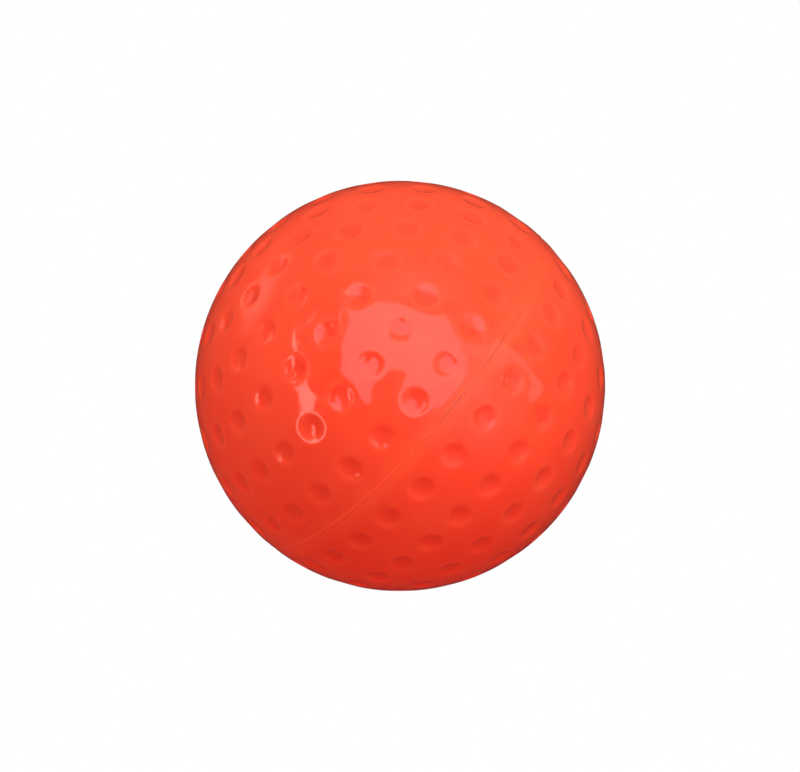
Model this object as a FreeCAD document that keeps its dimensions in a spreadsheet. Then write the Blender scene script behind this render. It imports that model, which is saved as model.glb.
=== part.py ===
"""Dimpled field-hockey ball, as a parametric FreeCAD document (millimetres).

Two moulded plastic cups, an upper and a lower one, are cemented over a solid cork-and-rubber core
and welded rim to rim. The origin is the centre of the ball, +Z is the moulding axis, and the weld
lies in the XY plane. The dimples lie in rings about +Z; +X points at the first dimple of the upper
cup's first ring.
"""
import FreeCAD, Part
import math
import os

import Sketcher
from FreeCAD import Vector

# alias, value, meaning. Lengths are in millimetres and angles in degrees.
DRIVING_DIMENSIONS = [
    ("ball_diameter", 73.0, "over the land between the dimples"),
    ("cover_thickness", 5.0, "wall of each cup, under the land"),
    ("bond_thickness", 0.3, "cement between cup and core"),
    ("weld_width", 0.5, "across the V that the weld fills, at the surface"),
    ("weld_depth", 1.5, "from the surface to the root of the V"),
    ("weld_crown_radius", 0.42, "of the trimmed bead, which stands 0.08 proud"),
    ("dimple_depth", 0.55, "from the land down to the pit's floor"),
    ("dimple_tool_radius", 6.5, "radius of the spherical pit, which leaves a mouth 4.85 mm wide"),
    ("first_ring_latitude", 8.3, "of the ring next to the weld"),
    ("ring_pitch", 13.9, "from one ring to the next, towards the pole"),
]

# One row for each ring, from the weld to the pole: the number of dimples, then the azimuth of a
# first dimple in the upper and in the lower cup, each in the cup's own frame.
RINGS = [
    (30, 0.0, 3.6),
    (30, 0.0, 3.9),
    (24, 13.0, 6.5),
    (20, 0.5, 9.6),
    (15, 7.0, 15.6),
    (7, 20.0, 4.0),
]

NODE_NAMES = [
    "cover_half_upper",
    "cover_half_lower",
    "seam_weld",
    "bond_film_upper",
    "bond_film_lower",
    "cork_core",
]

# Sketcher's own numbers for the origin, the axes and the points of an edge.
ORIGIN = (-1, 1)
HORIZONTAL_AXIS = -1
VERTICAL_AXIS = -2
START, END, CENTRE = 1, 2, 3

NORMAL = Vector(0, 0, 1)
HALF_TURN = 180.0
RADIUS_CELL = "dims.ball_diameter / 2"


def ring_alias(ring, what):
    """Name of a ring's cell; rings are counted from 1 at the weld."""
    return "ring_%d_%s" % (ring + 1, what)


def make_sheet(doc):
    """Write every driving dimension as a plain number with an alias and its meaning."""
    sheet = doc.addObject("Spreadsheet::Sheet", "dims")
    sheet.Label = "driving dimensions"
    rows = list(DRIVING_DIMENSIONS)
    for ring, (count, upper_start, lower_start) in enumerate(RINGS):
        rows.append((ring_alias(ring, "count"), count, "dimples in the ring"))
        rows.append((ring_alias(ring, "upper_start"), upper_start, "azimuth of a dimple, upper cup"))
        rows.append((ring_alias(ring, "lower_start"), lower_start, "azimuth of a dimple, lower cup"))
    for row, (alias, value, meaning) in enumerate(rows, start=1):
        sheet.set("A%d" % row, alias)
        sheet.set("B%d" % row, str(value))
        sheet.set("C%d" % row, meaning)
        sheet.setAlias("B%d" % row, alias)
    doc.recompute()
    return sheet


def origin_feature(body, role):
    """One of a body's own origin planes or axes."""
    return [feature for feature in body.Origin.OriginFeatures if feature.Role == role][0]


def new_sketch(body, name, plane):
    sketch = body.newObject("Sketcher::SketchObject", name)
    sketch.AttachmentSupport = [(origin_feature(body, plane), "")]
    sketch.MapMode = "FlatFace"
    return sketch


def add_loop(sketch, edges, joints):
    """Add edges and join them into one loop: joints gives each edge's first and last point."""
    for edge in edges:
        sketch.addGeometry(edge, False)
    for index, (_, last) in enumerate(joints):
        following = (index + 1) % len(edges)
        first = joints[following][0]
        sketch.addConstraint(Sketcher.Constraint("Coincident", index, last, following, first))


def bind(sketch, name, constraint, expression):
    """Add a dimension to the sketch and drive it from the sheet."""
    index = sketch.addConstraint(constraint)
    sketch.renameConstraint(index, name)
    sketch.setExpression("Constraints." + name, expression)


def point_on(sketch, edge, point, line):
    sketch.addConstraint(Sketcher.Constraint("PointOnObject", edge, point, line))


def arc(centre_x, centre_y, radius, first_angle, last_angle):
    circle = Part.Circle(Vector(centre_x, centre_y, 0), NORMAL, radius)
    return Part.ArcOfCircle(circle, first_angle, last_angle)


def line(start, end):
    return Part.LineSegment(Vector(start[0], start[1], 0), Vector(end[0], end[1], 0))


def revolve_about_vertical(body, sketch, name):
    solid = body.newObject("PartDesign::Revolution", name)
    solid.Profile = sketch
    solid.ReferenceAxis = (sketch, ["V_Axis"])
    solid.Angle = 360.0
    body.Tip = solid
    sketch.Visibility = False
    return solid


def cup_blank(body, sheet):
    """The plain cup: a hemispherical shell whose rim is bevelled outside for the weld."""
    outer = sheet.ball_diameter / 2
    inner = outer - sheet.cover_thickness
    root = outer - sheet.weld_depth
    bevel_height = sheet.weld_width / 2
    bevel_angle = math.asin(bevel_height / outer)
    sketch = new_sketch(body, body.Name + "_profile", "XZ_Plane")
    edges = [
        line((inner, 0), (root, 0)),
        line((root, 0), (outer * math.cos(bevel_angle), bevel_height)),
        arc(0, 0, outer, bevel_angle, math.pi / 2),
        line((0, outer), (0, inner)),
        arc(0, 0, inner, 0, math.pi / 2),
    ]
    joints = [(START, END), (START, END), (START, END), (START, END), (END, START)]
    add_loop(sketch, edges, joints)
    for curved in (2, 4):
        sketch.addConstraint(Sketcher.Constraint("Coincident", curved, CENTRE, *ORIGIN))
    point_on(sketch, 0, START, HORIZONTAL_AXIS)
    point_on(sketch, 0, END, HORIZONTAL_AXIS)
    point_on(sketch, 3, START, VERTICAL_AXIS)
    point_on(sketch, 3, END, VERTICAL_AXIS)
    bind(sketch, "outer_radius", Sketcher.Constraint("Radius", 2, outer), RADIUS_CELL)
    bind(sketch, "inner_radius", Sketcher.Constraint("Radius", 4, inner),
         RADIUS_CELL + " - dims.cover_thickness")
    bind(sketch, "bevel_root", Sketcher.Constraint("DistanceX", *ORIGIN, 0, END, root),
         RADIUS_CELL + " - dims.weld_depth")
    bind(sketch, "bevel_height", Sketcher.Constraint("DistanceY", *ORIGIN, 2, START, bevel_height),
         "dims.weld_width / 2")
    return revolve_about_vertical(body, sketch, body.Name + "_blank")


def pit_sketch(body, name, sheet, azimuth, from_pole):
    """Half a disc, turned so that its flat side points out through the dimple's centre.

    azimuth and from_pole are expressions for the dimple's azimuth and its angle from the pole.
    """
    radius = sheet.dimple_tool_radius
    floor = sheet.ball_diameter / 2 - sheet.dimple_depth
    sketch = new_sketch(body, name, "XY_Plane")
    edges = [
        arc(0, floor + radius, radius, -math.pi / 2, math.pi / 2),
        line((0, floor + 2 * radius), (0, floor)),
    ]
    add_loop(sketch, edges, [(START, END), (START, END)])
    point_on(sketch, 0, CENTRE, VERTICAL_AXIS)
    point_on(sketch, 1, START, VERTICAL_AXIS)
    point_on(sketch, 1, END, VERTICAL_AXIS)
    bind(sketch, "pit_radius", Sketcher.Constraint("Radius", 0, radius), "dims.dimple_tool_radius")
    bind(sketch, "pit_floor", Sketcher.Constraint("DistanceY", *ORIGIN, 1, END, floor),
         RADIUS_CELL + " - dims.dimple_depth")
    sketch.setExpression("AttachmentOffset.Rotation.Yaw", azimuth)
    sketch.setExpression("AttachmentOffset.Rotation.Pitch", from_pole)
    sketch.setExpression("AttachmentOffset.Rotation.Roll", "90")
    return sketch


def cut_pit(body, sketch, name):
    pit = body.newObject("PartDesign::Groove", name)
    pit.Profile = sketch
    pit.ReferenceAxis = (sketch, ["V_Axis"])
    pit.Angle = 360.0
    body.Tip = pit
    sketch.Visibility = False
    return pit


def cut_ring(body, ring, start_cell, sheet):
    """Cut one dimple and repeat it round the moulding axis."""
    name = "%s_ring_%d" % (body.Name, ring + 1)
    from_pole = "90 - dims.first_ring_latitude - %d * dims.ring_pitch" % ring
    sketch = pit_sketch(body, name + "_profile", sheet, "dims." + start_cell, from_pole)
    pit = cut_pit(body, sketch, name + "_pit")
    pattern = body.newObject("PartDesign::PolarPattern", name)
    pattern.Originals = [pit]
    pattern.Axis = (origin_feature(body, "Z_Axis"), [""])
    pattern.Angle = 360.0
    pattern.setExpression("Occurrences", "dims." + ring_alias(ring, "count"))
    body.Tip = pattern


def dimple_volume(sheet):
    """Volume of one dimple: the lens that the pit's sphere shares with the ball's sphere."""
    ball = sheet.ball_diameter / 2
    pit = sheet.dimple_tool_radius
    apart = ball + pit - sheet.dimple_depth
    depth_squared = (ball + pit - apart) ** 2
    spread = apart ** 2 + 2 * apart * (ball + pit) - 3 * (ball - pit) ** 2
    return math.pi * depth_squared * spread / (12 * apart)


def make_cup(doc, sheet, side):
    """One cup of the cover, modelled rim down with its pole at +Z."""
    body = doc.addObject("PartDesign::Body", "cover_half_" + side)
    blank = cup_blank(body, sheet)
    for ring in range(len(RINGS)):
        cut_ring(body, ring, ring_alias(ring, side + "_start"), sheet)
    pole = pit_sketch(body, body.Name + "_pole_profile", sheet, "0", "0")
    cut_pit(body, pole, body.Name + "_pole_pit")
    doc.recompute()
    dimples = 1 + sum(int(sheet.get(ring_alias(ring, "count"))) for ring in range(len(RINGS)))
    removed = blank.Shape.Volume - body.Shape.Volume
    expected = dimples * dimple_volume(sheet)
    print(body.Name, dimples, "dimples remove", round(removed, 2), "of", round(expected, 2), "mm3")
    if abs(removed - expected) > 0.002 * expected:
        raise RuntimeError("a dimple is missing or cut twice in " + body.Name)
    return body


def make_bond_film(doc, sheet, side):
    """The coat of cement inside one cup: a thin hemispherical shell."""
    body = doc.addObject("PartDesign::Body", "bond_film_" + side)
    outer = sheet.ball_diameter / 2 - sheet.cover_thickness
    inner = outer - sheet.bond_thickness
    sketch = new_sketch(body, body.Name + "_profile", "XZ_Plane")
    edges = [
        line((inner, 0), (outer, 0)),
        arc(0, 0, outer, 0, math.pi / 2),
        line((0, outer), (0, inner)),
        arc(0, 0, inner, 0, math.pi / 2),
    ]
    add_loop(sketch, edges, [(START, END), (START, END), (START, END), (END, START)])
    for curved in (1, 3):
        sketch.addConstraint(Sketcher.Constraint("Coincident", curved, CENTRE, *ORIGIN))
    point_on(sketch, 0, START, HORIZONTAL_AXIS)
    point_on(sketch, 0, END, HORIZONTAL_AXIS)
    point_on(sketch, 2, START, VERTICAL_AXIS)
    point_on(sketch, 2, END, VERTICAL_AXIS)
    cover_inside = RADIUS_CELL + " - dims.cover_thickness"
    bind(sketch, "outer_radius", Sketcher.Constraint("Radius", 1, outer), cover_inside)
    bind(sketch, "inner_radius", Sketcher.Constraint("Radius", 3, inner),
         cover_inside + " - dims.bond_thickness")
    revolve_about_vertical(body, sketch, body.Name + "_shell")
    return body


def make_seam_weld(doc, sheet):
    """The weld: a ring of V section between the two bevelled rims, with a low rounded crown."""
    body = doc.addObject("PartDesign::Body", "seam_weld")
    ball = sheet.ball_diameter / 2
    root = ball - sheet.weld_depth
    half_width = sheet.weld_width / 2
    crown = sheet.weld_crown_radius
    rim = math.sqrt(ball ** 2 - half_width ** 2)
    crown_angle = math.asin(half_width / crown)
    crown_centre = rim - crown * math.cos(crown_angle)
    sketch = new_sketch(body, "seam_weld_profile", "XZ_Plane")
    edges = [
        line((root, 0), (rim, -half_width)),
        arc(crown_centre, 0, crown, -crown_angle, crown_angle),
        line((rim, half_width), (root, 0)),
    ]
    add_loop(sketch, edges, [(START, END), (START, END), (START, END)])
    point_on(sketch, 0, START, HORIZONTAL_AXIS)
    sketch.addConstraint(Sketcher.Constraint("Symmetric", 0, END, 2, START, HORIZONTAL_AXIS))
    bind(sketch, "bevel_root", Sketcher.Constraint("DistanceX", *ORIGIN, 0, START, root),
         RADIUS_CELL + " - dims.weld_depth")
    bind(sketch, "crown_radius", Sketcher.Constraint("Radius", 1, crown), "dims.weld_crown_radius")
    bind(sketch, "rim_height", Sketcher.Constraint("DistanceY", *ORIGIN, 1, END, half_width),
         "dims.weld_width / 2")
    bind(sketch, "rim_radius", Sketcher.Constraint("DistanceX", *ORIGIN, 1, END, rim),
         "sqrt((" + RADIUS_CELL + ") ^ 2 - (dims.weld_width / 2) ^ 2)")
    revolve_about_vertical(body, sketch, "seam_weld_ring")
    return body


def make_cork_core(doc):
    """The solid moulded core, which fills the cement all round."""
    core = doc.addObject("Part::Sphere", "cork_core")
    core.setExpression("Radius", RADIUS_CELL + " - dims.cover_thickness - dims.bond_thickness")
    return core


def turn_over(part):
    """Turn a lower piece over about +X, so that its pole points along -Z."""
    part.Placement = FreeCAD.Placement(Vector(0, 0, 0), FreeCAD.Rotation(Vector(1, 0, 0), HALF_TURN))


def check_document(doc, nodes):
    """Stop if any object failed to compute or any piece isn't one valid solid."""
    for item in doc.Objects:
        if "Invalid" in item.State or "Error" in item.State:
            raise RuntimeError("failed object: " + item.Name)
    for node in nodes:
        shape = node.Shape
        if shape.isNull() or not shape.isValid() or len(shape.Solids) != 1:
            raise RuntimeError("bad shape: " + node.Label)
        print(node.Label, "volume", round(shape.Volume, 1), "mm3")


def export_nodes(nodes):
    os.makedirs("parts", exist_ok=True)
    for node in nodes:
        node.Shape.exportStep(os.path.join("parts", node.Label + ".step"))


def main():
    doc = FreeCAD.newDocument("hockey_ball")
    sheet = make_sheet(doc)
    upper_cup = make_cup(doc, sheet, "upper")
    lower_cup = make_cup(doc, sheet, "lower")
    weld = make_seam_weld(doc, sheet)
    upper_film = make_bond_film(doc, sheet, "upper")
    lower_film = make_bond_film(doc, sheet, "lower")
    core = make_cork_core(doc)
    turn_over(lower_cup)
    turn_over(lower_film)
    nodes = [upper_cup, lower_cup, weld, upper_film, lower_film, core]
    for node, name in zip(nodes, NODE_NAMES):
        node.Label = name
    doc.recompute()
    check_document(doc, nodes)
    export_nodes(nodes)


main()
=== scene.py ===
"""Looks of a dimpled field-hockey ball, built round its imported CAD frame.

Every piece of the ball is rebuilt here as a detailed mesh in the place of its CAD node: two dimpled
plastic cups, the trimmed weld between them, two coats of cement and a granulated cork core.
Lengths are in metres. The ball's centre is the origin, +Z is the moulding axis and the weld lies in
the XY plane.
"""
import math

import bmesh
import bpy
import numpy as np
from mathutils import Matrix, Vector, geometry


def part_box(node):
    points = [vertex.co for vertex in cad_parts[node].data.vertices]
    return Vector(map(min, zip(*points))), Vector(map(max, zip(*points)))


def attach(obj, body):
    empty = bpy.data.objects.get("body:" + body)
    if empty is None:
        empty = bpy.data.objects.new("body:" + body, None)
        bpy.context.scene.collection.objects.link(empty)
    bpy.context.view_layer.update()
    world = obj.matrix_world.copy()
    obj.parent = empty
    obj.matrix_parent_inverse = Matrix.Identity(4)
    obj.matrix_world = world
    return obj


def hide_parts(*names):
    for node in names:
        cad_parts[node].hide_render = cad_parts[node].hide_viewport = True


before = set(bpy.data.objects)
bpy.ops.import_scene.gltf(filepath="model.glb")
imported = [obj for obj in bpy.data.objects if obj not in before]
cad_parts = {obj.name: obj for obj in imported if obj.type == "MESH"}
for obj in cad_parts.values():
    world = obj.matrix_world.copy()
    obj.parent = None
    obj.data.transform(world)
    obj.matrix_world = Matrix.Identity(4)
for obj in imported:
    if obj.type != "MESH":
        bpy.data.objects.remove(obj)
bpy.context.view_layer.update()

MM = 0.001

# ---------------------------------------------------------------------------------------------
# Sizes. Radii come from the CAD nodes. The weld's depth and the dimples' layout repeat the design's.
# ---------------------------------------------------------------------------------------------
WELD_HALF_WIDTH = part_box("seam_weld")[1].z
BALL_RADIUS = math.hypot(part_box("cover_half_upper")[1].x, WELD_HALF_WIDTH)
CUP_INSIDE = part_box("bond_film_upper")[1].x
CORE_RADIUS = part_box("cork_core")[1].z
WELD_DEPTH = 1.5 * MM
WELD_ROOT = BALL_RADIUS - WELD_DEPTH

FIRST_RING_LATITUDE = 8.3
RING_PITCH = 13.9
# Dimples in each ring from the weld to the pole, and the azimuth of one of them in degrees: in the
# upper cup and in the lower cup, each in the cup's own frame with its pole at +Z.
RINGS = [
    (30, 0.0, 3.6),
    (30, 0.0, 3.9),
    (24, 13.0, 6.5),
    (20, 0.5, 9.6),
    (15, 7.0, 15.6),
    (7, 20.0, 4.0),
]

# Moulded dimple: a broad spherical floor, a steeper wall and a rounded shoulder.
FLOOR_RADIUS = 8.0 * MM
WALL_TILT = math.radians(4.5)
WALL_START = 1.0 * MM
WALL_FULL = 1.65 * MM
SHOULDER_START = 1.65 * MM
SHOULDER_WIDTH = 0.55 * MM
SHOULDER_SHARPNESS = 1.6
PROFILE_REACH = 4.5 * MM
PROFILE_POINTS = 2251
# Shallow valley where the cups' edges shrank towards the weld: wider in the lower cup.
VALLEY_DEPTH = 0.07 * MM
VALLEY_REACH_UPPER = 0.6 * MM
VALLEY_REACH_LOWER = 1.4 * MM
# Uneven shrinkage of the skin: slow waves, whose phase goes round by so many radians per ball radius.
UNEVENNESS = 0.045 * MM
WAVE_SEED = 7
WAVE_COUNT = 10
FIRST_WAVE_RATE = 5.0
WAVE_RATE_STEP = 1.3

# Mesh spacing.
DIMPLE_SIDES = 32
DIMPLE_REACH = 3.15 * MM
DIMPLE_LOOPS = 12
NET_EDGE = 0.99 * DIMPLE_REACH
LAND_SPACING = 0.85 * MM
DIMPLE_CLEARANCE = 0.45 * LAND_SPACING
SEAM_CLEARANCE = 0.6 * LAND_SPACING
MERGE_DISTANCE = 1e-9
SEAM_SIDES = 480
INNER_ROWS = 16
NORMAL_STEP = 0.004 * MM
# Distance to a dimple that the faces inside a cup are given, so that the dimples' painted shade and
# painted highlight stay off them.
FAR_FROM_DIMPLES = 9.0 * MM


# ---------------------------------------------------------------------------------------------
# Surface of the cover
# ---------------------------------------------------------------------------------------------
def on_sphere(azimuth, latitude):
    """Unit vectors for azimuths and latitudes in degrees."""
    azimuth, latitude = np.radians(azimuth), np.radians(latitude)
    flat = np.cos(latitude)
    return np.stack([flat * np.cos(azimuth), flat * np.sin(azimuth), np.sin(latitude)], axis=-1)


def dimple_directions(side):
    """Unit vectors through the dimples of the upper cup (side 1) or the lower cup (side -1)."""
    rings = []
    for index, (count, upper_start, lower_start) in enumerate(RINGS):
        start = upper_start if side > 0 else -lower_start
        latitude = FIRST_RING_LATITUDE + index * RING_PITCH
        rings.append(on_sphere(start + np.arange(count) * 360 / count, np.full(count, side * latitude)))
    rings.append(np.array([[0.0, 0.0, side]]))
    return np.vstack(rings)


ALL_DIMPLES = np.vstack([dimple_directions(1), dimple_directions(-1)])


def smooth_step(value, start, full):
    """A smooth rise from zero at the start to one at full."""
    share = np.clip((value - start) / (full - start), 0, 1)
    return share * share * (3 - 2 * share)


def bell(distance, width):
    """A smooth bump of height one round zero distance."""
    return np.exp(-(distance / width) ** 2)


def pit_profile():
    """Distances from a dimple's centre and the skin's heights there, summed up from its slope."""
    away = np.linspace(0, PROFILE_REACH, PROFILE_POINTS)
    slope = away / FLOOR_RADIUS + away / BALL_RADIUS
    slope += WALL_TILT * smooth_step(away, WALL_START, WALL_FULL)
    past_shoulder = np.maximum(away - SHOULDER_START, 0) / SHOULDER_WIDTH
    slope *= np.exp(-past_shoulder ** SHOULDER_SHARPNESS)
    rise = np.tan(slope) * (away[1] - away[0])
    height = np.cumsum(rise)
    return away, height - height[-1]


PIT_AWAY, PIT_HEIGHT = pit_profile()


def pit_height(away):
    """Height of the skin over the plain sphere at arc distances from a dimple's centre."""
    return np.interp(away, PIT_AWAY, PIT_HEIGHT)


def wave_list():
    """A random direction and phase for each wave of the uneven skin."""
    source = np.random.RandomState(WAVE_SEED)
    return [(source.normal(size=3), source.uniform(0, 2 * math.pi)) for _ in range(WAVE_COUNT)]


WAVES = wave_list()


def unevenness(directions):
    """Slow waves of a few hundredths of a millimetre: a thick moulding shrinks unevenly."""
    height = np.zeros(len(directions))
    for index, (vector, phase) in enumerate(WAVES):
        rate = FIRST_WAVE_RATE + WAVE_RATE_STEP * index
        height += np.sin(directions @ (vector / np.linalg.norm(vector)) * rate + phase) / rate
    return UNEVENNESS * height


def valley(from_seam):
    """Depth of the shallow valley that the weld lies in, steeper on the upper cup."""
    reach = np.where(from_seam > 0, VALLEY_REACH_UPPER, VALLEY_REACH_LOWER)
    return VALLEY_DEPTH * bell(from_seam, reach)


def from_dimple(directions):
    """Distances along the ball from unit vectors to the nearest dimple's centre."""
    return np.arccos(np.clip((directions @ ALL_DIMPLES.T).max(axis=1), -1, 1)) * BALL_RADIUS


def skin_points(directions):
    """Points of the moulded skin along unit vectors."""
    from_seam = np.arcsin(np.clip(directions[:, 2], -1, 1)) * BALL_RADIUS
    height = pit_height(from_dimple(directions)) + unevenness(directions) - valley(from_seam)
    return directions * (BALL_RADIUS + height)[:, None]


def tangents(directions):
    """Two unit tangents for each unit vector."""
    helper = np.where(np.abs(directions[:, 2:3]) < 0.9, [[0.0, 0.0, 1.0]], [[1.0, 0.0, 0.0]])
    east = np.cross(helper, directions)
    east /= np.linalg.norm(east, axis=1, keepdims=True)
    return east, np.cross(directions, east)


def unit(vectors):
    """The vectors at unit length."""
    return vectors / np.linalg.norm(vectors, axis=1, keepdims=True)


def skin_steps(directions, tangent):
    """Short vectors along the moulded skin, each from just before a direction to just after it."""
    step = tangent * (NORMAL_STEP / BALL_RADIUS)
    return skin_points(unit(directions + step)) - skin_points(unit(directions - step))


def skin_normals(directions):
    """Normals of the moulded skin along unit vectors."""
    east, north = tangents(directions)
    return unit(np.cross(skin_steps(directions, east), skin_steps(directions, north)))


# ---------------------------------------------------------------------------------------------
# Mesh of a cup
# ---------------------------------------------------------------------------------------------
def dimple_net(centre, first):
    """Directions and faces of one dimple: a fan and rings of quads. Its outer loop comes last."""
    east, north = tangents(centre[None, :])
    radii = np.linspace(0, 1, DIMPLE_LOOPS + 1)[1:] * DIMPLE_REACH / BALL_RADIUS
    turn = np.arange(DIMPLE_SIDES) * 2 * math.pi / DIMPLE_SIDES
    aside = np.cos(turn)[:, None] * east + np.sin(turn)[:, None] * north
    loops = [centre * math.cos(radius) + aside * math.sin(radius) for radius in radii]
    faces = []
    for place in range(DIMPLE_SIDES):
        after = (place + 1) % DIMPLE_SIDES
        faces.append((first, first + 1 + place, first + 1 + after))
        for loop in range(len(radii) - 1):
            inner = first + 1 + loop * DIMPLE_SIDES
            outer = inner + DIMPLE_SIDES
            faces.append((inner + place, outer + place, outer + after, inner + after))
    return np.vstack([centre[None, :], *loops]), faces


def land_directions(dimples, seam_latitude):
    """Evenly spread directions of a hemisphere, clear of its dimples and of the seam."""
    total = int(4 * math.pi * BALL_RADIUS ** 2 / (LAND_SPACING ** 2 * math.sqrt(3) / 2))
    place = np.arange(total // 2)
    z = 1 - (2 * place + 1) / total
    azimuth = np.degrees(place * math.pi * (3 - math.sqrt(5)))
    points = on_sphere(azimuth, np.degrees(np.arcsin(z)))
    away = np.arccos(np.clip((points @ dimples.T).max(axis=1), -1, 1)) * BALL_RADIUS
    clear = away > DIMPLE_REACH + DIMPLE_CLEARANCE
    above = (np.arcsin(z) - math.radians(seam_latitude)) * BALL_RADIUS > SEAM_CLEARANCE
    return points[clear & above]


def land_faces(directions, loops, loose, dimples):
    """Triangles of the land between the dimples and the seam, by Delaunay in stereographic view."""
    chosen = [number for loop in loops for number in loop] + list(loose)
    flat = directions[chosen, :2] / (1 + directions[chosen, 2:3])
    edges = []
    start = 0
    for loop in loops:
        edges += [(start + i, start + (i + 1) % len(loop)) for i in range(len(loop))]
        start += len(loop)
    net = geometry.delaunay_2d_cdt([Vector(point) for point in flat], edges, [], 0, MERGE_DISTANCE)
    numbers = [chosen[origins[0]] for origins in net[3]]
    faces = [tuple(numbers[corner] for corner in face) for face in net[2]]
    middles = unit(np.array([directions[list(face)].mean(axis=0) for face in faces]))
    away = np.arccos(np.clip((middles @ dimples.T).max(axis=1), -1, 1)) * BALL_RADIUS
    return [face for face, distance in zip(faces, away) if distance > NET_EDGE]


def ring_of(radius, height, count=SEAM_SIDES):
    """A level ring of points."""
    turn = np.arange(count) * 2 * math.pi / count
    return np.stack([radius * np.cos(turn), radius * np.sin(turn), np.full(count, height)], axis=1)


def join_rings(lower, upper, count):
    """Quads between two rings of equal count, numbered from their first points."""
    quads = []
    for here in range(count):
        after = (here + 1) % count
        quads.append((lower + here, lower + after, upper + after, upper + here))
    return quads


def cup_mesh(name, side):
    """One moulded cup: dimpled skin, weld bevel, flat rim and spherical inside, as a closed shell."""
    mirror = np.array([1.0, 1.0, side])
    dimples = dimple_directions(side) * mirror
    seam_latitude = math.degrees(math.asin(WELD_HALF_WIDTH / BALL_RADIUS))

    parts = []
    faces = []
    loops = []
    first = 0
    for centre in dimples:
        net, net_faces = dimple_net(centre, first)
        parts.append(net)
        faces += net_faces
        first += len(net)
        loops.append(range(first - DIMPLE_SIDES, first))
    seam_first = first
    seam_azimuth = np.arange(SEAM_SIDES) * 360 / SEAM_SIDES
    parts.append(on_sphere(seam_azimuth, np.full(SEAM_SIDES, seam_latitude)))
    loops.append(range(seam_first, seam_first + SEAM_SIDES))
    land = land_directions(dimples, seam_latitude)
    parts.append(land)
    directions = np.vstack(parts)
    skin_count = len(directions)
    faces += land_faces(directions, loops, range(seam_first + SEAM_SIDES, skin_count), dimples)
    skin_faces = len(faces)

    real = directions * mirror
    points = skin_points(real)
    normals = skin_normals(real)

    rings = [ring_of(WELD_ROOT, 0.0), ring_of(CUP_INSIDE, 0.0)]
    for row in range(1, INNER_ROWS):
        latitude = math.pi / 2 * row / INNER_ROWS
        rings.append(ring_of(CUP_INSIDE * math.cos(latitude), CUP_INSIDE * math.sin(latitude) * side))
    points = np.vstack([points, *rings, [[0.0, 0.0, CUP_INSIDE * side]]])
    below = seam_first
    for index in range(len(rings)):
        ring_first = skin_count + index * SEAM_SIDES
        faces += join_rings(ring_first, below, SEAM_SIDES)
        below = ring_first
    last = len(points) - 1
    faces += [(last, below + (i + 1) % SEAM_SIDES, below + i) for i in range(SEAM_SIDES)]
    if side < 0:
        faces = [face[::-1] for face in faces]
    cup = mesh_piece(name, points, faces, normals, skin_faces)
    distance = np.full(len(points), FAR_FROM_DIMPLES)
    distance[:skin_count] = from_dimple(real)
    cup.data.attributes.new("from_dimple", "FLOAT", "POINT").data.foreach_set("value", distance)
    return cup


def mesh_piece(name, points, faces, skin_normals_at=None, skin_faces=0):
    """A smooth mesh object. Where skin normals are given, the first faces are shaded by them."""
    mesh = bpy.data.meshes.new(name)
    mesh.from_pydata(points.tolist(), [], faces)
    mesh.shade_smooth()
    if skin_normals_at is not None:
        corners = np.zeros(len(mesh.loops), dtype=int)
        mesh.loops.foreach_get("vertex_index", corners)
        counts = np.array([len(face) for face in faces])
        own = np.zeros(len(faces) * 3)
        mesh.polygons.foreach_get("normal", own)
        shaded = np.repeat(own.reshape(-1, 3), counts, axis=0)
        skin_corners = counts[:skin_faces].sum()
        shaded[:skin_corners] = skin_normals_at[corners[:skin_corners]]
        mesh.normals_split_custom_set(shaded.tolist())
    piece = bpy.data.objects.new(name, mesh)
    bpy.context.scene.collection.objects.link(piece)
    return piece


# ---------------------------------------------------------------------------------------------
# Weld, cement and core
# ---------------------------------------------------------------------------------------------
def fixed_noise(turn, seed, lowest, highest, terms=24):
    """A smooth closed curve of sines round the seam, of unit size, with whole waves per turn."""
    source = np.random.RandomState(seed)
    value = np.zeros_like(turn)
    for _ in range(terms):
        waves = int(round(math.exp(source.uniform(math.log(lowest), math.log(highest)))))
        value += np.sin(waves * turn + source.uniform(0, 2 * math.pi))
    return value / math.sqrt(terms / 2)


# The weld's mesh: points round it, lines across it, half the width of its surface, and its thin root.
WELD_POINTS = 1440
WELD_LINES = 19
WELD_SECTION = 0.32 * MM
ROOT_HALF_WIDTH = 0.02 * MM
# Its surface stands a little proud of the cups in the middle and dips under them at its edges.
WELD_PROUD = 0.010 * MM
WELD_EDGE_DROP = 0.022 * MM
# The ridge left on it, how far that wanders, and the noise it wanders by: the noise's seed and its
# fewest and most waves round the seam.
RIDGE_WIDTH = 0.16 * MM
RIDGE_HEIGHT = 0.055 * MM
WIDTH_WANDER = 0.12
HEIGHT_WANDER = 0.2
SIDE_WANDER = 0.04 * MM
WIDTH_NOISE = (3, 4, 60)
HEIGHT_NOISE = (5, 3, 60)
SIDE_NOISE = (11, 3, 40)
# Azimuths in degrees between which the blade cut the ridge nearly flush, leaning to one side.
FLUSH_FROM = 1.0
FLUSH_TO = 27.0
FLUSH_FADE = 5.0
FLUSH_CUT = 0.85
FLUSH_SHIFT = 0.10 * MM
# Hairlines along the weld: their size and how far from its middle they run. The side lines are
# missing from the clean stretch, and the blade's second cut is one more line for a few degrees.
HAIRLINE_WIDTH = 0.085 * MM
HAIRLINE_DEPTH = 0.008 * MM
MIDDLE_LINE = 0.07 * MM
SIDE_LINES = 0.26 * MM
SECOND_CUT_LINE = 0.27 * MM
SECOND_CUT = (26.5, 31.0, 1.0)
CLEAN_STRETCH = (-85.0, FLUSH_FROM - FLUSH_FADE, FLUSH_FADE)
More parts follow.
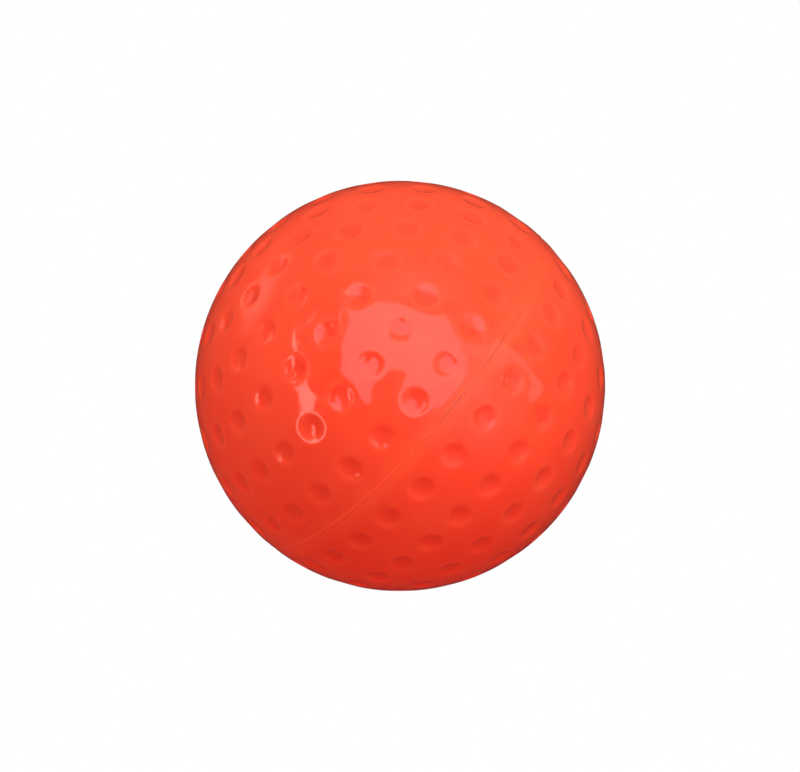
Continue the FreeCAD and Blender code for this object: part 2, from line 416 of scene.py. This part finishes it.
# Patchiness of the dirt in them: its noise and where that becomes a patch. Then the share of dirt
# everywhere in a line and the share added in a patch.
DIRT_NOISE = (17, 3, 30)
PATCH_START = -0.2
PATCH_FULL = 1.2
FLUSH_DIRT = (0.7, 0.3)
RIDGE_DIRT = (0.0, 0.5)
SIDE_DIRT = (0.25, 0.35)
# Small nicks: azimuths in degrees, size along and across the weld, and the share of dirt in them.
NICKS = (-9, 7.5, 9.5, 61, 96, 140, 171, 205, 236, 262, 301)
NICK_LENGTH = 0.22 * MM
NICK_WIDTH = 0.14 * MM
NICK_DIRT = 0.4


def along_seam(degrees, first, last, fade):
    """One between two azimuths of the seam and zero elsewhere, with soft ends."""
    rising = smooth_step(degrees, first - fade, first)
    return rising * (1 - smooth_step(degrees, last, last + fade))


def share_of_dirt(shares, patchy):
    """The dirt in a hairline, from its two shares."""
    everywhere, in_patches = shares
    return everywhere + in_patches * patchy


def weld_mesh(name):
    """The weld bead: a fine rounded ridge trimmed by a blade, with hairlines that hold dirt."""
    count = WELD_POINTS
    turn = np.arange(count) * 2 * math.pi / count
    degrees = (np.degrees(turn) + 180) % 360 - 180
    floor = BALL_RADIUS + unevenness(ring_of(1.0, 0.0, count))
    trimmed = along_seam(degrees, FLUSH_FROM, FLUSH_TO, FLUSH_FADE)
    ridge = RIDGE_WIDTH * (1 + WIDTH_WANDER * fixed_noise(turn, *WIDTH_NOISE))
    crown = RIDGE_HEIGHT * (1 + HEIGHT_WANDER * fixed_noise(turn, *HEIGHT_NOISE))
    crown *= 1 - FLUSH_CUT * trimmed
    shift = SIDE_WANDER * fixed_noise(turn, *SIDE_NOISE) - FLUSH_SHIFT * trimmed
    nick = np.zeros(count)
    for place in NICKS:
        away = (degrees - place + 180) % 360 - 180
        nick += bell(np.radians(away) * BALL_RADIUS, NICK_LENGTH)
    patchy = smooth_step(fixed_noise(turn, *DIRT_NOISE), PATCH_START, PATCH_FULL)
    worn = (1 - along_seam(degrees, *CLEAN_STRETCH)) * (1 - trimmed)
    middle_dirt = np.maximum(trimmed * share_of_dirt(FLUSH_DIRT, patchy),
                             worn * share_of_dirt(RIDGE_DIRT, patchy))
    side_dirt = worn * share_of_dirt(SIDE_DIRT, patchy)
    second_cut = along_seam(degrees, *SECOND_CUT)
    rings = []
    dirt = []
    for across in np.linspace(-1, 1, WELD_LINES) * WELD_SECTION:
        hollow = middle_dirt * bell(across - MIDDLE_LINE, HAIRLINE_WIDTH)
        hollow += side_dirt * bell(abs(across) - SIDE_LINES, HAIRLINE_WIDTH)
        hollow += second_cut * bell(across - SECOND_CUT_LINE, HAIRLINE_WIDTH)
        hollow += NICK_DIRT * nick * bell(across, NICK_WIDTH)
        hollow = np.clip(hollow, 0, 1)
        radius = floor + crown * bell(across - shift, ridge) - HAIRLINE_DEPTH * hollow
        radius += WELD_PROUD - WELD_EDGE_DROP * (across / WELD_SECTION) ** 4 - valley(across)
        line = [radius * np.cos(turn), radius * np.sin(turn), np.full(count, across)]
        rings.append(np.stack(line, axis=1))
        dirt.append(hollow)
    surface = np.stack(rings)
    along = np.roll(surface, -1, axis=1) - np.roll(surface, 1, axis=1)
    normals = unit(np.cross(along, np.gradient(surface, axis=0)).reshape(-1, 3))
    surface_faces = (len(rings) - 1) * count
    root = WELD_ROOT + ROOT_HALF_WIDTH
    rings.append(ring_of(root, ROOT_HALF_WIDTH, count))
    rings.append(ring_of(root, -ROOT_HALF_WIDTH, count))
    dirt += [np.zeros(count), np.zeros(count)]
    points = np.vstack(rings)
    faces = []
    for index in range(len(rings)):
        following = (index + 1) % len(rings)
        faces += join_rings(index * count, following * count, count)
    weld = mesh_piece(name, points, faces, normals, surface_faces)
    weld.data.attributes.new("dirt", "FLOAT", "POINT").data.foreach_set("value", np.concatenate(dirt))
    return weld


# The cement: rows and columns of its mesh, its gap to cup and core, and the ripples of the brush,
# whose strokes sway from side to side. Phases are in radians.
CEMENT_ROWS = 40
CEMENT_COLUMNS = 160
CEMENT_GAP = 0.01 * MM
RIPPLE_HEIGHT = 0.03 * MM
BRUSH_STROKES = np.array([90.0, 25.0, 40.0])
BRUSH_SWAY = np.array([7.0, -9.0, 5.0])
SWAY_AMOUNT = 3


def shell_mesh(name, side):
    """A brushed coat of cement between cup and core: a thin closed half shell with ripples."""
    rows = CEMENT_ROWS
    count = CEMENT_COLUMNS
    outer_radius = CUP_INSIDE - CEMENT_GAP
    inner_radius = CORE_RADIUS + CEMENT_GAP
    latitude = np.linspace(0, 90, rows, endpoint=False)
    azimuth = np.arange(count) * 360 / count
    grid = on_sphere(*np.meshgrid(azimuth, latitude)).reshape(-1, 3)
    grid[:, 2] *= side
    sway = SWAY_AMOUNT * np.sin(grid @ BRUSH_SWAY)
    ripple = RIPPLE_HEIGHT * (1 + np.sin(grid @ BRUSH_STROKES + sway))
    pole = np.array([[0.0, 0.0, side]])
    outer = np.vstack([grid * (outer_radius - ripple)[:, None], pole * outer_radius])
    inner = np.vstack([grid * inner_radius, pole * inner_radius])
    size = rows * count + 1
    faces = []
    for start, flip in ((0, side < 0), (size, side > 0)):
        shell = []
        for row in range(rows - 1):
            shell += join_rings(start + row * count, start + (row + 1) * count, count)
        top = start + (rows - 1) * count
        shell += [(top + i, top + (i + 1) % count, start + size - 1) for i in range(count)]
        faces += [face[::-1] for face in shell] if flip else shell
    rim = join_rings(size, 0, count)
    faces += rim if side > 0 else [face[::-1] for face in rim]
    return mesh_piece(name, np.vstack([outer, inner]), faces)


# The core's granules: their number and seed, and the pits along their edges. The mesh stays a hair
# inside the core's radius.
CORE_SUBDIVISIONS = 7
GRANULES = 900
GRANULE_SEED = 21
GRANULE_PIT = 0.28 * MM
GRANULE_GAP = 0.35 * MM
CORE_GAP = 0.02 * MM


def core_mesh(name):
    """The core: cork granules bonded with rubber and moulded to a ball, with pits between granules."""
    work = bmesh.new()
    bmesh.ops.create_icosphere(work, subdivisions=CORE_SUBDIVISIONS, radius=1.0)
    mesh = bpy.data.meshes.new(name)
    work.to_mesh(mesh)
    work.free()
    piece = bpy.data.objects.new(name, mesh)
    bpy.context.scene.collection.objects.link(piece)
    coordinates = np.zeros(len(mesh.vertices) * 3)
    mesh.vertices.foreach_get("co", coordinates)
    directions = unit(coordinates.reshape(-1, 3))
    granules = unit(np.random.RandomState(GRANULE_SEED).normal(size=(GRANULES, 3)))
    nearest_two = np.arccos(np.clip(np.sort(directions @ granules.T, axis=1)[:, -2:], -1, 1))
    gap = nearest_two[:, 0] - nearest_two[:, 1]
    pit = GRANULE_PIT * bell(gap * CORE_RADIUS, GRANULE_GAP)
    placed = directions * (CORE_RADIUS - CORE_GAP - pit)[:, None]
    mesh.vertices.foreach_set("co", placed.ravel())
    mesh.shade_smooth()
    mesh.update()
    return piece


# ---------------------------------------------------------------------------------------------
# Materials
# ---------------------------------------------------------------------------------------------
class Shader:
    """A material with its Principled shader, and short calls to add and wire nodes."""

    def __init__(self, name, **constants):
        self.material = bpy.data.materials.new(name)
        self.material.use_nodes = True
        self.tree = self.material.node_tree
        self.surface = self.tree.nodes["Principled BSDF"]
        for socket, value in constants.items():
            self.surface.inputs[socket.replace("_", " ")].default_value = value
        self.place = self.node("ShaderNodeTexCoord").outputs["Object"]

    def node(self, kind, inputs=None, **settings):
        """A new node: each input is a value or another node's output."""
        made = self.tree.nodes.new(kind)
        for key, value in settings.items():
            setattr(made, key, value)
        for key, value in (inputs or {}).items():
            if isinstance(value, bpy.types.NodeSocket):
                self.tree.links.new(value, made.inputs[key])
            else:
                made.inputs[key].default_value = value
        return made

    def noise(self, size, detail=2.0, roughness=0.5, distortion=0.0, place=None):
        """Noise whose blobs are about size metres across."""
        inputs = {"Vector": place or self.place, "Scale": 1 / size, "Detail": detail,
                  "Roughness": roughness, "Distortion": distortion}
        return self.node("ShaderNodeTexNoise", inputs).outputs["Fac"]

    def stretched(self, scale):
        """Places on the piece, scaled along its axes so that a pattern there comes out in streaks."""
        return self.node("ShaderNodeMapping", {"Vector": self.place, "Scale": scale}).outputs[0]

    def cells(self, size, feature="F1"):
        """Voronoi cells about size metres across."""
        inputs = {"Vector": self.place, "Scale": 1 / size}
        return self.node("ShaderNodeTexVoronoi", inputs, feature=feature).outputs

    def between(self, value, low, high, to_low=0.0, to_high=1.0):
        """A value mapped from one range to another and clamped."""
        inputs = {"Value": value, "From Min": low, "From Max": high,
                  "To Min": to_low, "To Max": to_high}
        return self.node("ShaderNodeMapRange", inputs, clamp=True).outputs["Result"]

    def math(self, operation, a, b):
        """The result of one operation on two values."""
        return self.node("ShaderNodeMath", {0: a, 1: b}, operation=operation).outputs[0]

    def mix(self, share, a, b):
        """A mix of two colours."""
        made = self.node("ShaderNodeMix", data_type="RGBA")
        for socket, value in ((made.inputs[0], share), (made.inputs[6], a), (made.inputs[7], b)):
            if isinstance(value, bpy.types.NodeSocket):
                self.tree.links.new(value, socket)
            else:
                socket.default_value = value
        return made.outputs[2]

    def bump(self, height, depth, before=None):
        """Bump of a given depth in metres for a height from 0 to 1."""
        inputs = {"Height": height, "Distance": depth, "Strength": 1.0}
        if before is not None:
            inputs["Normal"] = before
        return self.node("ShaderNodeBump", inputs).outputs["Normal"]

    def wire(self, **sockets):
        """Wire values to the shader's sockets and give back the finished material."""
        for name, value in sockets.items():
            self.tree.links.new(value, self.surface.inputs[name.replace("_", " ")])
        return self.material


PIGMENT = (0.97, 0.055, 0.0215, 1.0)
PIGMENT_PALE = (0.98, 0.060, 0.0235, 1.0)
PIGMENT_DEEP = (0.95, 0.050, 0.0195, 1.0)
# Painted shade: a darker colour for the floors of the dimples.
DIMPLE_PAINTED_SHADE = (0.86, 0.047, 0.020, 1.0)
# Painted highlight: a lighter colour for the ring round each dimple's rim.
DIMPLE_RIM_HIGHLIGHT = (0.99, 0.0610, 0.0245, 1.0)
SPECK_BROWN = (0.45, 0.03, 0.015, 1.0)
SEAM_DIRT = (0.15, 0.011, 0.007, 1.0)
CEMENT_THIN = (0.42, 0.20, 0.05, 1.0)
CEMENT_THICK = (0.75, 0.48, 0.16, 1.0)
CORK_DARK = (0.30, 0.15, 0.06, 1.0)
CORK_PALE = (0.62, 0.38, 0.19, 1.0)
CORK_FLECK = (0.14, 0.06, 0.025, 1.0)
RUBBER = (0.02, 0.018, 0.016, 1.0)

# Distances from a dimple's centre: where its painted shade starts to fade and ends, and where the
# painted highlight round its rim starts, is full, starts to fade and ends.
DIMPLE_SHADE_FADE = 1.2 * MM
DIMPLE_SHADE_END = 2.0 * MM
RIM_HIGHLIGHT_START = 1.7 * MM
RIM_HIGHLIGHT_FULL = 2.2 * MM
RIM_HIGHLIGHT_FADE = 2.5 * MM
RIM_HIGHLIGHT_END = 3.3 * MM
# Sizes of the patterns in the cover's colour and gloss, and the strongest share of each tint.
BLOTCH_SIZE = 14 * MM
CLOUD_SIZE = 2.2 * MM
CLOUD_SHARE = 0.35
SPECK_SPACING = 3.5 * MM
SPECK_PATCH_SIZE = 5 * MM
SPECK_SHARE = 0.5
DIMPLE_SHADE_SHARE = 0.6
RIM_HIGHLIGHT_SHARE = 0.65
HAZE_SIZE = 6 * MM
SMEAR_SIZE = 1.6 * MM
SMEAR_STRETCH = (1.0, 0.25, 1.6)
# Roughness of the clean skin, of its haziest places, and what a smear adds.
SKIN_ROUGHNESS = 0.055
HAZE_ROUGHNESS = 0.11
SMEAR_ROUGHNESS = 0.10
# How far light spreads in the plastic, red the furthest. The spread ends short of the weld, where a
# cup's edge would show as a line.
LIGHT_SPREAD = 2.2 * MM
LIGHT_SPREAD_RGB = (1.0, 0.7, 0.6)
SPREAD_START = 0.4 * MM
SPREAD_FULL = 2.5 * MM
# Size and depth of the orange peel and of the fine grain.
PEEL_SIZE = 1.3 * MM
PEEL_DEPTH = 0.010 * MM
GRAIN_SIZE = 0.22 * MM
GRAIN_DEPTH = 0.0008 * MM


def cover_plastic():
    """Glossy pigmented PVC, a little translucent, with orange peel, haze, a few marks of use, painted
    shade in its dimples and a painted highlight round them.
    """
    shader = Shader("cover_plastic", IOR=1.5, Specular_IOR_Level=0.5,
                    Subsurface_Scale=LIGHT_SPREAD, Subsurface_Radius=LIGHT_SPREAD_RGB)
    blotch = shader.between(shader.noise(BLOTCH_SIZE, detail=3.0), 0.35, 0.65)
    colour = shader.mix(blotch, PIGMENT_DEEP, PIGMENT_PALE)
    cloud = shader.between(shader.noise(CLOUD_SIZE, detail=3.0), 0.3, 0.7, 0.0, CLOUD_SHARE)
    colour = shader.mix(cloud, colour, PIGMENT)
    speck = shader.between(shader.cells(SPECK_SPACING)["Distance"], 0.03, 0.05, 1.0, 0.0)
    in_patch = shader.between(shader.noise(SPECK_PATCH_SIZE, detail=0.0), 0.62, 0.66)
    speck = shader.math("MULTIPLY", speck, in_patch)
    colour = shader.mix(shader.math("MULTIPLY", speck, SPECK_SHARE), colour, SPECK_BROWN)
    away = shader.node("ShaderNodeAttribute", {}, attribute_name="from_dimple").outputs["Fac"]
    # Painted shade: the colour darkens towards each dimple's centre.
    dimple_shade = shader.between(away, DIMPLE_SHADE_FADE, DIMPLE_SHADE_END, DIMPLE_SHADE_SHARE, 0.0)
    colour = shader.mix(dimple_shade, colour, DIMPLE_PAINTED_SHADE)
    # Painted highlight: a lighter ring of colour round each dimple's rounded shoulder.
    rim = shader.between(away, RIM_HIGHLIGHT_FADE, RIM_HIGHLIGHT_END, RIM_HIGHLIGHT_SHARE, 0.0)
    rim = shader.math("MULTIPLY", rim, shader.between(away, RIM_HIGHLIGHT_START, RIM_HIGHLIGHT_FULL))
    colour = shader.mix(rim, colour, DIMPLE_RIM_HIGHLIGHT)

    haze = shader.noise(HAZE_SIZE, detail=4.0, roughness=0.6)
    haze = shader.between(haze, 0.35, 0.75, SKIN_ROUGHNESS, HAZE_ROUGHNESS)
    smear = shader.noise(SMEAR_SIZE, detail=4.0, roughness=0.65, distortion=0.6,
                         place=shader.stretched(SMEAR_STRETCH))
    smear = shader.between(smear, 0.62, 0.75, 0.0, SMEAR_ROUGHNESS)
    rough = shader.math("ADD", haze, smear)

    height = shader.node("ShaderNodeSeparateXYZ", {0: shader.place}).outputs["Z"]
    from_seam = shader.math("ABSOLUTE", height, 0.0)
    spread = shader.between(from_seam, SPREAD_START, SPREAD_FULL)

    peel = shader.bump(shader.noise(PEEL_SIZE), PEEL_DEPTH)
    grain = shader.bump(shader.noise(GRAIN_SIZE), GRAIN_DEPTH, peel)
    return shader.wire(Base_Color=colour, Roughness=rough, Subsurface_Weight=spread, Normal=grain)


# Size of the blade's marks on the weld, size and depth of its fine scores, and the roughness of the
# smoothest and the roughest places, with what dirt adds.
CUT_SIZE = 0.9 * MM
SCORE_SIZE = 0.35 * MM
SCORE_DEPTH = 0.002 * MM
WELD_ROUGHNESS = (0.09, 0.15)
DIRT_ROUGHNESS = 0.12


def weld_plastic():
    """The same plastic where the cups fused: cut by a blade, so a little duller and finely scored."""
    shader = Shader("weld_plastic", IOR=1.5, Specular_IOR_Level=0.5)
    cut = shader.noise(CUT_SIZE, detail=4.0, roughness=0.7, distortion=0.8)
    colour = shader.mix(shader.between(cut, 0.35, 0.7), PIGMENT, PIGMENT_PALE)
    dirt = shader.node("ShaderNodeAttribute", {}, attribute_name="dirt").outputs["Fac"]
    colour = shader.mix(dirt, colour, SEAM_DIRT)
    rough = shader.between(cut, 0.3, 0.7, *WELD_ROUGHNESS)
    rough = shader.math("ADD", rough, shader.math("MULTIPLY", dirt, DIRT_ROUGHNESS))
    score = shader.bump(shader.noise(SCORE_SIZE, detail=3.0, roughness=0.6), SCORE_DEPTH)
    return shader.wire(Base_Color=colour, Roughness=rough, Normal=score)


STREAK_SIZE = 1.5 * MM
STREAK_STRETCH = (0.2, 1.0, 0.6)
STREAK_DEPTH = 0.05 * MM
CEMENT_ROUGHNESS = (0.25, 0.5)


def cement():
    """Amber contact cement, brushed on and dried with streaks."""
    shader = Shader("contact_cement", IOR=1.48, Coat_Weight=0.3, Coat_Roughness=0.2)
    streak = shader.noise(STREAK_SIZE, detail=5.0, roughness=0.6, distortion=0.5,
                          place=shader.stretched(STREAK_STRETCH))
    colour = shader.mix(shader.between(streak, 0.3, 0.7), CEMENT_THIN, CEMENT_THICK)
    rough = shader.between(streak, 0.3, 0.7, *CEMENT_ROUGHNESS)
    ridge = shader.bump(streak, STREAK_DEPTH)
    return shader.wire(Base_Color=colour, Roughness=rough, Normal=ridge)


GRANULE_SIZE = 2.4 * MM
GRANULE_RELIEF = 0.25 * MM
FLECK_SIZE = 0.5 * MM
PORE_SIZE = 0.4 * MM
PORE_DEPTH = 0.08 * MM
CORK_ROUGHNESS = (0.7, 0.9)


def cork():
    """Cork granules of mixed browns, bound with dark rubber."""
    shader = Shader("granulated_cork", IOR=1.4, Specular_IOR_Level=0.3)
    cells = shader.cells(GRANULE_SIZE)
    tone = shader.node("ShaderNodeSeparateColor", {"Color": cells["Color"]}).outputs[0]
    granule = shader.mix(tone, CORK_DARK, CORK_PALE)
    fleck = shader.noise(FLECK_SIZE, detail=4.0, roughness=0.7)
    fleck = shader.between(fleck, 0.45, 0.62)
    granule = shader.mix(fleck, granule, CORK_FLECK)
    edge = shader.cells(GRANULE_SIZE, "DISTANCE_TO_EDGE")["Distance"]
    binder = shader.between(edge, 0.02, 0.09, 1.0, 0.0)
    colour = shader.mix(binder, granule, RUBBER)
    rough = shader.between(fleck, 0.0, 1.0, *CORK_ROUGHNESS)
    relief = shader.bump(edge, GRANULE_RELIEF)
    pores = shader.noise(PORE_SIZE, detail=4.0, roughness=0.7)
    relief = shader.bump(pores, PORE_DEPTH, relief)
    return shader.wire(Base_Color=colour, Roughness=rough, Normal=relief)


# ---------------------------------------------------------------------------------------------
# Pieces
# ---------------------------------------------------------------------------------------------
def add_piece(piece, node, material):
    """Give a piece its material and its body, and hide the CAD node that it stands for."""
    piece.data.materials.append(material)
    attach(piece, "root")
    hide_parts(node)


def build_ball():
    """All six pieces of the ball."""
    cover = cover_plastic()
    add_piece(cup_mesh("upper_cup", 1), "cover_half_upper", cover)
    add_piece(cup_mesh("lower_cup", -1), "cover_half_lower", cover)
    add_piece(weld_mesh("weld_bead"), "seam_weld", weld_plastic())
    amber = cement()
    add_piece(shell_mesh("cement_upper", 1), "bond_film_upper", amber)
    add_piece(shell_mesh("cement_lower", -1), "bond_film_lower", amber)
    add_piece(core_mesh("core_ball"), "cork_core", cork())


# ---------------------------------------------------------------------------------------------
# Camera and studio
# ---------------------------------------------------------------------------------------------
# Where the camera stands, in degrees and in ball radii, and how much of the picture's width the
# ball fills. The sensor's width is in millimetres and the clip distance in metres.
CAMERA_ELEVATION = 13.41
CAMERA_AZIMUTH = 0.5
CAMERA_ROLL = 49.2
CAMERA_DISTANCE = 7.2
BALL_SHARE_OF_WIDTH = 0.513
SENSOR = 36.0
CLIP_START = 0.01


def camera_axes():
    """Unit vectors to the right, up and back towards the camera, in the ball's frame."""
    back = Vector(on_sphere(CAMERA_AZIMUTH, CAMERA_ELEVATION))
    level = Vector((0, 0, 1)).cross(back).normalized()
    upright = back.cross(level)
    roll = math.radians(CAMERA_ROLL)
    right = level * math.cos(roll) - upright * math.sin(roll)
    return right, back.cross(right), back


RIGHT, UP, BACK = camera_axes()

# The studio's sizes, in metres.
SOFTBOX_SIZE = 0.5
SOFTBOX_DISTANCE = 0.6
PANEL_DISTANCE = 0.8
SOFT_PANEL_DISTANCE = 1.0
FLOOR_HALF = 3.0

# The window side's lights hold back red, because a camera tones down a strong red that a plain
# render keeps. The room's light is warm, and the white table sends back what the ball coloured.
PLAIN = (1.0, 1.0, 1.0)
COOL = (0.6, 1.0, 1.0)
HALF_COOL = (0.77, 1.0, 1.0)
FAINTLY_COOL = (0.85, 1.0, 1.0)
WARM = (1.2, 1.0, 1.0)
BOUNCED = (1.0, 0.05, 0.02)
ROOM_COLOUR = (1.0, 0.97, 0.95, 1.0)
ROOM_STRENGTH = 0.03


def seen_at(azimuth, elevation):
    """The direction from the ball that lies at an azimuth (right +) and elevation of the camera's."""
    azimuth, elevation = math.radians(azimuth), math.radians(elevation)
    level = RIGHT * math.sin(azimuth) + BACK * math.cos(azimuth)
    return level * math.cos(elevation) + UP * math.sin(elevation)


def add_camera():
    """A camera aimed at the ball's centre, with the lens that gives the ball its share of the width."""
    data = bpy.data.cameras.new("camera")
    data.sensor_width = SENSOR
    data.lens = SENSOR * BALL_SHARE_OF_WIDTH / 2 * math.sqrt(CAMERA_DISTANCE ** 2 - 1)
    data.clip_start = CLIP_START
    camera = bpy.data.objects.new("camera", data)
    turn = Matrix((RIGHT, UP, BACK)).transposed().to_4x4()
    camera.matrix_world = Matrix.Translation(BACK * CAMERA_DISTANCE * BALL_RADIUS) @ turn
    bpy.context.scene.collection.objects.link(camera)
    bpy.context.scene.camera = camera


def emission(name, colour, strength, fading=False):
    """A glowing material. Where it fades, its strength follows the mesh's attribute "glow"."""
    material = bpy.data.materials.new(name)
    material.use_nodes = True
    tree = material.node_tree
    tree.nodes.clear()
    glow = tree.nodes.new("ShaderNodeEmission")
    glow.inputs["Color"].default_value = (*colour, 1.0)
    glow.inputs["Strength"].default_value = strength
    if fading:
        share = tree.nodes.new("ShaderNodeAttribute")
        share.attribute_name = "glow"
        product = tree.nodes.new("ShaderNodeMath")
        product.operation = "MULTIPLY"
        product.inputs[1].default_value = strength
        tree.links.new(share.outputs["Fac"], product.inputs[0])
        tree.links.new(product.outputs[0], glow.inputs["Strength"])
    output = tree.nodes.new("ShaderNodeOutputMaterial")
    tree.links.new(glow.outputs[0], output.inputs["Surface"])
    return material


def reflected_panel(name, outline, colour, strength, distance, core=None):
    """A flat bright shape that only reflections see: its outline is a few directions from the ball.

    Where a core direction is given, the panel is bright there and fades to nothing at its outline.
    """
    directions = [seen_at(*point) for point in outline]
    facing = sum(directions, Vector()).normalized()
    points = [direction * distance / direction.dot(facing) for direction in directions]
    count = len(points)
    faces = [range(count)]
    if core is not None:
        toward = seen_at(*core)
        points.append(toward * distance / toward.dot(facing))
        faces = [(place, (place + 1) % count, count) for place in range(count)]
    mesh = bpy.data.meshes.new(name)
    mesh.from_pydata(points, [], faces)
    if core is not None:
        glow = mesh.attributes.new("glow", "FLOAT", "POINT")
        glow.data.foreach_set("value", [0.0] * count + [1.0])
    panel = bpy.data.objects.new(name, mesh)
    panel.data.materials.append(emission(name, colour, strength, core is not None))
    panel.visible_camera = False
    panel.visible_diffuse = False
    panel.visible_transmission = False
    panel.visible_shadow = False
    bpy.context.scene.collection.objects.link(panel)


def soft_light(name, azimuth, elevation, power, colour):
    """A square softbox aimed at the ball, which lights it but isn't reflected in it."""
    data = bpy.data.lights.new(name, "AREA")
    data.size = SOFTBOX_SIZE
    data.energy = power
    data.color = colour
    light = bpy.data.objects.new(name, data)
    toward = seen_at(azimuth, elevation)
    light.location = toward * SOFTBOX_DISTANCE
    light.rotation_mode = "QUATERNION"
    light.rotation_quaternion = toward.to_track_quat("Z", "Y")
    light.visible_glossy = False
    light.visible_camera = False
    bpy.context.scene.collection.objects.link(light)


def add_world():
    """White behind the ball for the camera, and a dim room all round it for everything else."""
    world = bpy.data.worlds.new("studio")
    bpy.context.scene.world = world
    world.use_nodes = True
    tree = world.node_tree
    tree.nodes.clear()
    room = tree.nodes.new("ShaderNodeBackground")
    room.inputs["Color"].default_value = ROOM_COLOUR
    room.inputs["Strength"].default_value = ROOM_STRENGTH
    white = tree.nodes.new("ShaderNodeBackground")
    white.inputs["Color"].default_value = (*PLAIN, 1.0)
    path = tree.nodes.new("ShaderNodeLightPath")
    mix = tree.nodes.new("ShaderNodeMixShader")
    output = tree.nodes.new("ShaderNodeOutputWorld")
    tree.links.new(path.outputs["Is Camera Ray"], mix.inputs[0])
    tree.links.new(room.outputs[0], mix.inputs[1])
    tree.links.new(white.outputs[0], mix.inputs[2])
    tree.links.new(mix.outputs[0], output.inputs["Surface"])


def add_floor():
    """A plain white floor that the ball rests on by its lower pole."""
    mesh = bpy.data.meshes.new("floor")
    corners = [(x * FLOOR_HALF, y * FLOOR_HALF, -BALL_RADIUS)
               for x, y in ((-1, -1), (1, -1), (1, 1), (-1, 1))]
    mesh.from_pydata(corners, [], [(0, 1, 2, 3)])
    floor = bpy.data.objects.new("floor", mesh)
    floor.data.materials.append(emission("floor_white", PLAIN, 1.0))
    floor.visible_diffuse = False
    floor.visible_glossy = False
    floor.visible_transmission = False
    floor.visible_shadow = False
    bpy.context.scene.collection.objects.link(floor)


# Softboxes round the ball: azimuth and elevation from the camera, power in watts, colour.
SOFT_LIGHTS = {
    "key": (18, 45, 5.1, COOL),
    "front": (-18, 15, 2.7, COOL),
    "top": (0, 80, 0.8, COOL),
    "right": (60, 29, 1.8, COOL),
    "right_low": (70, -20, 1.7, FAINTLY_COOL),
    "left": (-70, 20, 0.9, PLAIN),
    "left_back": (-126, 0, 3.3, HALF_COOL),
    "below_back": (-158, -50, 2.2, WARM),
    "back": (165, 0, 0.6, WARM),
    "below": (0, -60, 0.8, BOUNCED),
    "front_low": (10, -25, 0.6, BOUNCED),
}

# Bright shapes of the room that the glossy skin mirrors: strength, colour, and the outline's
# azimuths and elevations from the camera.
REFLECTED_PANELS = {
    "window": (1.75, (0.93, 0.91, 1.08), [
        (-35, 42), (-25, 44), (-10, 44.5), (3, 43.5), (12, 39.5), (20, 37), (28, 36.5), (32, 28),
        (35, 20), (36, 10), (34, 3), (29, -3), (22, -11), (14, -12), (3, -8), (1, 0), (3, 5),
        (1, 8), (-4, 9), (-9, 7), (-13, 4), (-14, 0), (-16, -9), (-19, -9), (-28, 4), (-31, 7),
        (-31, 12), (-33, 21), (-30.5, 33)]),
    "window_edge": (1.3, (0.95, 0.92, 1.0), [
        (-38.5, 41), (-36, 41), (-36.5, 24), (-38.5, 25)]),
    "window_side": (1.1, (1.0, 0.97, 1.0), [
        (33, 21), (45, 21), (50, 18), (44, 14), (34, 15)]),
    "curtain": (0.9, (1.0, 0.97, 1.0), [
        (50, 12), (54, 19), (58, 21), (62, 17), (70, 12), (76, 4), (82, 0), (80, -5), (72, -7),
        (71, -1), (73, 2), (67, 8), (57, 9), (50, 9)]),
    "streak": (3.3, (1.0, 1.0, 0.9), [
        (-63.5, 28), (-61, 24), (-59, 20), (-57, 15.5), (-53.8, 11.5), (-51.9, 8.5), (-51.4, 6),
        (-50, 3), (-48.5, 0), (-46.5, -2.5), (-43.5, -4.5), (-45.5, -8), (-46.5, -12),
        (-47.6, -16), (-47.6, -20), (-49.5, -23.5), (-53, -24), (-55.5, -21), (-55.5, -16.5),
        (-53.5, -12), (-54, -5), (-56.5, 0), (-53.5, 3), (-52.4, 6), (-52.7, 8.5),
        (-54.6, 11.5), (-59, 15), (-61.5, 19), (-62.5, 23)]),
    "gap": (1.3, (1.0, 0.97, 0.97), [
        (-55.5, 28), (-53.5, 30), (-51, 36), (-53, 35), (-57, 29)]),
}

# The same for soft shapes: strength, colour, the brightest direction and where it has faded out.
SOFT_PANELS = {
    "window_glow": (0.75, (1.0, 0.97, 1.0), (38, 2), [
        (5, 34), (30, 46), (50, 38), (66, 20), (72, 0), (74, -22), (66, -42), (44, -44),
        (20, -38), (2, -28), (-6, -8), (-2, 14)]),
    "far_glow": (1.0, (1.0, 1.0, 0.95), (-103, 32), [
        (-112, 50), (-95, 44), (-84, 32), (-89, 22), (-96, 14), (-104, 16), (-116, 26),
        (-124, 40)]),
    "above_window": (0.6, (1.0, 0.97, 1.0), (5, 52), [
        (-45, 42), (-32, 60), (0, 72), (40, 66), (62, 50), (45, 38), (20, 40), (-20, 41)]),
}


def add_studio():
    """The world, the floor, the shapes that the skin mirrors and the softboxes."""
    add_world()
    add_floor()
    bpy.context.scene.view_settings.view_transform = "Standard"
    for name, (strength, colour, outline) in REFLECTED_PANELS.items():
        reflected_panel(name, outline, colour, strength, PANEL_DISTANCE)
    for name, (strength, colour, core, outline) in SOFT_PANELS.items():
        reflected_panel(name, outline, colour, strength, SOFT_PANEL_DISTANCE, core)
    for name, (azimuth, elevation, power, colour) in SOFT_LIGHTS.items():
        soft_light(name, azimuth, elevation, power, colour)


build_ball()
add_camera()
add_studio()
